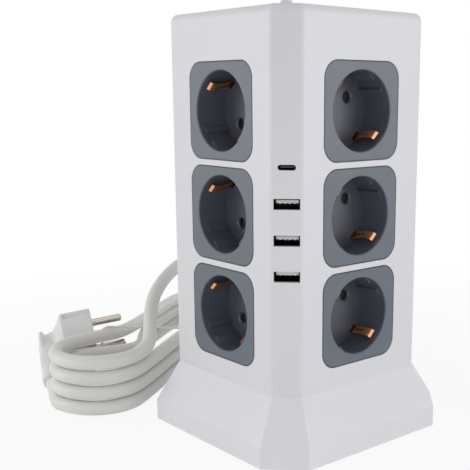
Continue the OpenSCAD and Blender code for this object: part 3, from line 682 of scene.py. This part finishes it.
def tongue_finish():
    """The square ports' tongues are white, and the oval port's tongue, which is higher, is dark."""
    f = grained("tongue_plastic", 0.4)
    drift = f.noise(close_cloud, 2.0).above(0.3, 0.7)
    white = f.blend(drift, tone(0.95, 0.95, 0.95), tone(0.9, 0.9, 0.9))
    dark = f.blend(drift, tone(0.06, 0.06, 0.062), tone(0.05, 0.05, 0.052))
    high = f.axes()[2].above(tongue_parting, tongue_parting + 0.001)
    return f.set(Base_Color=f.blend(high, white, dark))


def metal(name, colour, shade, roughness, scratch=900.0):
    """Drawn sheet metal: a colour that darkens in places and fine rolling marks."""
    f = Finish(name, Metallic=1.0)
    drift = f.noise(160.0, 3.0).above(0.35, 0.7)
    f.set(Base_Color=f.blend(drift, tone(*colour), tone(*shade)))
    f.set(Roughness=f.noise(scratch, 3.0) * 0.2 + (roughness - 0.1))
    return f.relief(f.noise(scratch * 2), roll_depth, 0.3)


def paint(names, finish):
    """The finish goes on each named CAD node or piece."""
    for name in names:
        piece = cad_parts.get(name) or bpy.data.objects[name]
        if not piece.material_slots:
            piece.data.materials.append(finish.material)
        for s in piece.material_slots:
            s.material = finish.material


sides = "abcd"
wells = [f"{side}{row}" for side in sides for row in (1, 2, 3)]
paint(["front_shell", "rear_shell", "top_cap"], housing_finish())
# painted light: the skirt is the housing's plastic, made lighter for the brighter light near the floor
paint(["base_skirt"], moulded("skirt_white_painted_light", (0.82, 0.82, 0.85), (0.8, 0.805, 0.84), 0.42))
paint([f"socket_{w}" for w in wells], socket_finish())
paint([f"shutter_{w}" for w in wells],
      moulded("shutter_plastic", (0.012, 0.013, 0.016), (0.009, 0.01, 0.013), 0.5))
paint([f"earth_strip_{s}" for s in sides],
      metal("earth_copper", (0.95, 0.5, 0.28), (0.85, 0.38, 0.18), 0.36))
paint([f"{n}_busbar_{s}" for n in ("live", "neutral") for s in sides],
      metal("busbar_brass", (0.8, 0.6, 0.3), (0.65, 0.46, 0.2), 0.35))
paint(["busbar_column"], moulded("column_plastic", (0.6, 0.59, 0.55), (0.55, 0.54, 0.5), 0.5))
paint(["usb_board"], moulded("circuit_board", (0.02, 0.12, 0.05), (0.015, 0.09, 0.04), 0.4))
paint(["usb_a_shells", "usb_c_shell"],
      metal("port_black_steel", (0.035, 0.035, 0.037), (0.02, 0.02, 0.021), 0.45))
paint(["usb_tongues"], tongue_finish())
paint(["switch_housing", "breaker_body"],
      moulded("switch_black", (0.02, 0.02, 0.022), (0.026, 0.026, 0.028), 0.35))
paint(["switch_rocker"], moulded("rocker_red", (0.42, 0.015, 0.012), (0.36, 0.012, 0.01), 0.25))
paint(["breaker_button"], moulded("button_pale", (0.88, 0.88, 0.9), (0.85, 0.85, 0.87), 0.4))
paint(["base_plate"], moulded("base_plate_grey", (0.6, 0.6, 0.62), (0.56, 0.56, 0.58), 0.55))
paint(["rubber_feet"], moulded("feet_rubber", (0.03, 0.03, 0.032), (0.022, 0.022, 0.024), 0.8))
paint(["base_screws"], metal("screw_steel", (0.55, 0.55, 0.56), (0.4, 0.4, 0.41), 0.35))
cord_finish = moulded("cord_pvc", (0.86, 0.85, 0.815), (0.83, 0.82, 0.785), 0.42, grain=1500.0, cloud=30.0)
paint(["strain_relief"], cord_finish)
# painted shade: the pins' warm metal colour is darkened for the shade the pins lie in
paint(["plug_pins"], metal("pin_nickel", (0.5, 0.46, 0.42), (0.44, 0.4, 0.36), 0.3))
paint(["plug_earth_contacts"], metal("contact_nickel", (0.55, 0.52, 0.46), (0.45, 0.42, 0.37), 0.35))


# Plug, tie and cord

plug = make_plug()
paint(["plug_skin"], moulded("plug_pvc", (0.88, 0.88, 0.87), (0.85, 0.85, 0.84), 0.38, grain=1500.0))
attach(plug, "tower")
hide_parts("plug_body")

contacts = contact_strips()
paint(["usb_contacts"], metal("contact_gold", (0.5, 0.46, 0.4), (0.42, 0.38, 0.33), 0.35))
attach(contacts, "tower")

string_path, string_across = tie_line()
string = hoop("cord_string", string_path, string_across, string_r)
paint(["cord_string"], moulded("tie_white", (0.9, 0.9, 0.88), (0.86, 0.86, 0.84), 0.4))
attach(string, "tower")
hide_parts("cord_tie")

cord = tube("cord", cord_line, cord_r)
paint(["cord"], cord_finish)
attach(cord, "tower")
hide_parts("cord_lead", "cord_hank", "cord_plug_lead")


# Floor, lamps and background

def seen_share(tree):
    """1 for what the camera, a mirror or glass sees, and 0 for the light that reaches other surfaces."""
    rays = tree.nodes.new("ShaderNodeLightPath")
    camera, glossy, through = (Wire(tree, rays.outputs[f"Is {kind} Ray"])
                               for kind in ("Camera", "Glossy", "Transmission"))
    return camera.math("MAXIMUM", glossy).math("MAXIMUM", through)


def mixed(tree, share, plain, seen):
    """Two shaders by a share."""
    mix = tree.nodes.new("ShaderNodeMixShader")
    join(tree, mix.inputs[0], share)
    tree.links.new(plain, mix.inputs[1])
    tree.links.new(seen, mix.inputs[2])
    return mix.outputs[0]


def make_world():
    """An even pale sky lights the part and is seen as white."""
    world = bpy.data.worlds.new("studio")
    world.use_nodes = True
    tree = world.node_tree
    plain = tree.nodes["Background"]
    plain.inputs["Color"].default_value = tone(1.0, 1.0, 1.0)
    plain.inputs["Strength"].default_value = sky_light
    white = tree.nodes.new("ShaderNodeBackground")
    white.inputs["Color"].default_value = tone(1.0, 1.0, 1.0)
    white.inputs["Strength"].default_value = 1.0
    out = mixed(tree, seen_share(tree), plain.outputs[0], white.outputs[0])
    tree.links.new(out, tree.nodes["World Output"].inputs[0])
    bpy.context.scene.world = world


def make_floor():
    """A pale floor, seen as nearly white by the part, where it keeps its shadow, and as white far off."""
    corners = np.array([[-1, -1, 0], [1, -1, 0], [1, 1, 0], [-1, 1, 0]]) * floor_half
    floor = mesh_piece("floor", corners - np.array([0, 0, floor_drop]), [[0, 1, 2, 3]], smooth=False)
    f = Finish("floor_white", Base_Color=tone(*floor_tone), Roughness=0.7)
    x, y = f.axes()[:2]
    far = (x * x + y * y).math("SQRT").above(floor_near, floor_far)
    white = f.tree.nodes.new("ShaderNodeEmission")
    white.inputs["Strength"].default_value = 1.0
    share = seen_share(f.tree) * (far * (1 - floor_white) + floor_white)
    out = mixed(f.tree, share, f.shader.outputs[0], white.outputs[0])
    f.tree.links.new(out, f.tree.nodes["Material Output"].inputs[0])
    paint(["floor"], f)


def make_lamp(name, place, size, power):
    """A square soft lamp that looks at the middle of the tower and isn't seen itself."""
    data = bpy.data.lights.new(name, "AREA")
    data.size = size
    data.energy = power
    lamp = bpy.data.objects.new(name, data)
    lamp.location = place
    look = Vector(lamp_target) - Vector(place)
    lamp.rotation_euler = look.to_track_quat("-Z", "Y").to_euler()
    lamp.visible_camera = False
    bpy.context.collection.objects.link(lamp)


sky_light = 0.42
floor_half = 3000.0
floor_drop = 0.05
floor_tone = (0.95, 0.95, 0.95)
floor_white = 0.88
floor_near = 0.16
floor_far = 0.5
lamp_target = (-0.03, 0, 0.1)
make_world()
make_floor()
make_lamp("left_lamp", (-0.85, -1.1, 0.3), 0.7, 5.1)
make_lamp("right_lamp", (1.1, 0.75, 0.3), 0.7, 4.9)
make_lamp("front_lamp", (0.9, -0.85, 0.1), 1.1, 1.25)
make_lamp("low_lamp", (0.233, -0.233, 0.02), 0.2, 0.15)
make_lamp("top_lamp", (0.2, -0.2, 1.5), 0.9, 1.5)

bpy.context.scene.view_settings.view_transform = "Standard"
